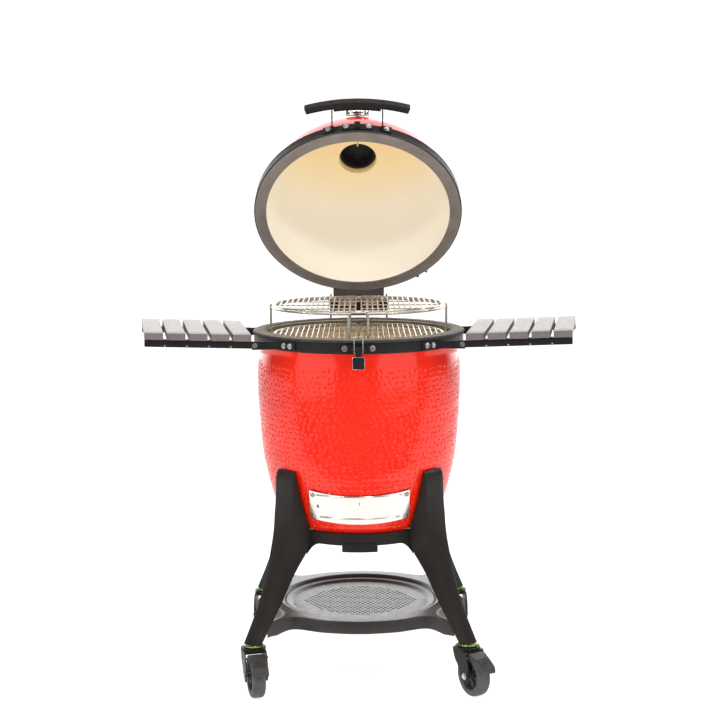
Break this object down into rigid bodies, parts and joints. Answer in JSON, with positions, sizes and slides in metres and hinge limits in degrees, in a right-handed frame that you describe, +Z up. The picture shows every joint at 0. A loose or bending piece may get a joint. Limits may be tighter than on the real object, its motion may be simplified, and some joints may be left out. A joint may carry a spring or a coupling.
{
  "type": "kamado ceramic grill",
  "caption": "Egg-shaped ceramic charcoal grill, lid open, with cooking rack, draft door, top vent, folding side shelves and a four-leg caster cart.",
  "frame": {"origin": "on the floor, under the middle of the whole grill's bounding box", "axes": "+Z up, -Y out of the front with the latch and the draft door, +X towards the right side shelf seen from the front"},
  "size_m": [1.1458, 0.7195, 1.4704],
  "materials": {
    "red_glaze": "high-gloss red glaze with pressed leaf-shaped dimples, cream inside",
    "firebrick": "matt fired clay",
    "deflector": "matt tan fired clay",
    "gasket": "grey-brown knitted mesh over felt",
    "band_steel": "black satin powder coat",
    "cart_steel": "charcoal satin powder coat",
    "tray_steel": "warm dark grey satin powder coat",
    "plaque": "black, blank",
    "bolts": "bright zinc and stainless",
    "stainless": "polished stainless sheet",
    "latch_steel": "black powder coat with bright edges",
    "spring_steel": "oiled spring steel",
    "handle": "black textured powder coat",
    "bezel": "polished stainless",
    "dial": null,
    "pointer": "red",
    "vent_casting": "black painted casting",
    "slats": "warm grey composite board with a faint grain",
    "grate_rod": "bright stainless rod",
    "cast_iron": "raw cast iron",
    "caster_race": "yellow-green passivated zinc",
    "caster_steel": "black paint",
    "tyre": "dark grey rubber tyre on a plastic hub",
    "pedal": "ribbed black nylon"
  },
  "bodies": {
    "cart": {"leg_front_left": "cart_steel", "leg_front_right": "cart_steel", "leg_rear_left": "cart_steel", "leg_rear_right": "cart_steel", "cart_ring": "cart_steel", "ring_plaque": "plaque", "bottom_tray": "tray_steel", "cart_bolts": "bolts", "caster_mounts": "caster_race", "ceramic_base": "red_glaze", "base_gasket": "gasket", "base_band": "band_steel", "base_bolts": "bolts", "firebox": "firebrick", "fire_ring": "firebrick", "charcoal_grate": "cast_iron", "draft_frame": "stainless", "draft_screws": "bolts", "hinge_base": "band_steel", "hinge_pin": "bolts", "hinge_springs": "spring_steel", "latch_bracket": "latch_steel", "shelf_brackets": "band_steel"},
    "dome": {"ceramic_dome": "red_glaze", "dome_gasket": "gasket", "dome_band": "band_steel", "dome_bolts": "bolts", "hinge_arm": "band_steel", "handle_bar": "handle", "handle_posts": "band_steel", "latch_keeper": "latch_steel", "thermometer_case": "bezel", "thermometer_dial": "dial", "vent_base": "vent_casting"},
    "pointer": {"thermometer_pointer": "pointer"},
    "vent_cap": {"vent_cap": "vent_casting"},
    "vent_disc": {"vent_disc": "vent_casting"},
    "latch_lever": {"latch_lever": "latch_steel"},
    "latch_bail": {"latch_bail": "bolts"},
    "draft_door": {"draft_door": "stainless"},
    "shelf_left": {"shelf_slats_left": "slats", "shelf_arms_left": "band_steel"},
    "shelf_right": {"shelf_slats_right": "slats", "shelf_arms_right": "band_steel"},
    "rack": {"rack_frame": "grate_rod", "heat_deflectors": "deflector"},
    "lower_grate_left": {"lower_grate_left": "grate_rod"},
    "upper_grate_left": {"upper_grate_left": "grate_rod"},
    "lower_grate_right": {"lower_grate_right": "grate_rod"},
    "upper_grate_right": {"upper_grate_right": "grate_rod"},
    "fork_front_left": {"caster_fork_front_left": "caster_steel"},
    "wheel_front_left": {"caster_wheel_front_left": "tyre"},
    "pedal_front_left": {"brake_pedal_front_left": "pedal"},
    "fork_front_right": {"caster_fork_front_right": "caster_steel"},
    "wheel_front_right": {"caster_wheel_front_right": "tyre"},
    "pedal_front_right": {"brake_pedal_front_right": "pedal"},
    "fork_rear_right": {"caster_fork_rear_right": "caster_steel"},
    "wheel_rear_right": {"caster_wheel_rear_right": "tyre"},
    "fork_rear_left": {"caster_fork_rear_left": "caster_steel"},
    "wheel_rear_left": {"caster_wheel_rear_left": "tyre"}
  },
  "joints": [
    {"name": "dome_hinge", "type": "hinge", "parent": "cart", "child": "dome", "pos_m": [0, 0.33, 0.93], "axis": [1, 0, 0], "range_deg": [0, 51.4]},
    {"name": "thermometer_needle", "type": "hinge", "parent": "dome", "child": "pointer", "pos_m": [0, 0.05894, 1.43145], "axis": [0, -0.0802, 0.9968], "range_deg": [-90, 180]},
    {"name": "vent_cap_swing", "type": "hinge", "parent": "dome", "child": "vent_cap", "pos_m": [0.084, 0.3153, 1.35715], "axis": [0, 0.7815, 0.6239], "range_deg": [0, 95]},
    {"name": "vent_disc_turn", "type": "hinge", "parent": "vent_cap", "child": "vent_disc", "pos_m": [0, 0.31764, 1.35902], "axis": [0, 0.7815, 0.6239], "range_deg": [0, 30]},
    {"name": "latch_lever_lift", "type": "hinge", "parent": "cart", "child": "latch_lever", "pos_m": [0, -0.298, 0.866], "axis": [1, 0, 0], "range_deg": [-120, 0]},
    {"name": "latch_bail_follow", "type": "hinge", "parent": "latch_lever", "child": "latch_bail", "pos_m": [0, -0.3025, 0.858], "axis": [1, 0, 0], "range_deg": [0, 120]},
    {"name": "draft_door_slide", "type": "hinge", "parent": "cart", "child": "draft_door", "pos_m": [0, -0.013, 0.46], "axis": [0, 0, 1], "range_deg": [-10, 10]},
    {"name": "shelf_left_fold", "type": "hinge", "parent": "cart", "child": "shelf_left", "pos_m": [-0.28125, -0.05906, 0.868], "axis": [0.1616, -0.9869, 0], "range_deg": [0, 90]},
    {"name": "shelf_right_fold", "type": "hinge", "parent": "cart", "child": "shelf_right", "pos_m": [0.28125, -0.05906, 0.868], "axis": [0.1616, 0.9869, 0], "range_deg": [0, 90]},
    {"name": "rack_lift", "type": "slide", "parent": "cart", "child": "rack", "axis": [0, 0, -1], "range_m": [-0.12, 0]},
    {"name": "lower_grate_left_lift", "type": "slide", "parent": "rack", "child": "lower_grate_left", "axis": [0, 0, -1], "range_m": [-0.03, 0]},
    {"name": "lower_grate_right_lift", "type": "slide", "parent": "rack", "child": "lower_grate_right", "axis": [0, 0, -1], "range_m": [-0.03, 0]},
    {"name": "upper_grate_left_lift", "type": "slide", "parent": "rack", "child": "upper_grate_left", "axis": [0, 0, -1], "range_m": [-0.12, 0]},
    {"name": "upper_grate_right_lift", "type": "slide", "parent": "rack", "child": "upper_grate_right", "axis": [0, 0, -1], "range_m": [-0.12, 0]},
    {"name": "caster_swivel_front_left", "type": "hinge", "parent": "cart", "child": "fork_front_left", "pos_m": [-0.26621, -0.26563, 0.117], "axis": [0, 0, 1], "continuous": true},
    {"name": "caster_roll_front_left", "type": "hinge", "parent": "fork_front_left", "child": "wheel_front_left", "pos_m": [-0.25897, -0.29267, 0.0525], "axis": [0.9659, 0.2588, 0], "continuous": true},
    {"name": "brake_pedal_front_left_press", "type": "hinge", "parent": "fork_front_left", "child": "pedal_front_left", "pos_m": [-0.25638, -0.30233, 0.102], "axis": [0.9659, 0.2588, 0], "range_deg": [-12, 0]},
    {"name": "caster_swivel_front_right", "type": "hinge", "parent": "cart", "child": "fork_front_right", "pos_m": [0.26621, -0.26563, 0.117], "axis": [0, 0, 1], "continuous": true},
    {"name": "caster_roll_front_right", "type": "hinge", "parent": "fork_front_right", "child": "wheel_front_right", "pos_m": [0.28021, -0.28987, 0.0525], "axis": [0.866, 0.5, 0], "continuous": true},
    {"name": "brake_pedal_front_right_press", "type": "hinge", "parent": "fork_front_right", "child": "pedal_front_right", "pos_m": [0.28521, -0.29853, 0.102], "axis": [0.866, 0.5, 0], "range_deg": [-12, 0]},
    {"name": "caster_swivel_rear_right", "type": "hinge", "parent": "cart", "child": "fork_rear_right", "pos_m": [0.26621, 0.23963, 0.117], "axis": [0, 0, 1], "continuous": true},
    {"name": "caster_roll_rear_right", "type": "hinge", "parent": "fork_rear_right", "child": "wheel_rear_right", "pos_m": [0.27011, 0.2119, 0.0525], "axis": [0.9903, 0.1392, 0], "continuous": true},
    {"name": "caster_swivel_rear_left", "type": "hinge", "parent": "cart", "child": "fork_rear_left", "pos_m": [-0.26621, 0.23963, 0.117], "axis": [0, 0, 1], "continuous": true},
    {"name": "caster_roll_rear_left", "type": "hinge", "parent": "fork_rear_left", "child": "wheel_rear_left", "pos_m": [-0.26963, 0.21183, 0.0525], "axis": [0.9925, -0.1219, 0], "continuous": true}
  ],
  "couplings": [
    {"joint": "latch_bail_follow", "follows": "latch_lever_lift", "ratio": -1}
  ]
}
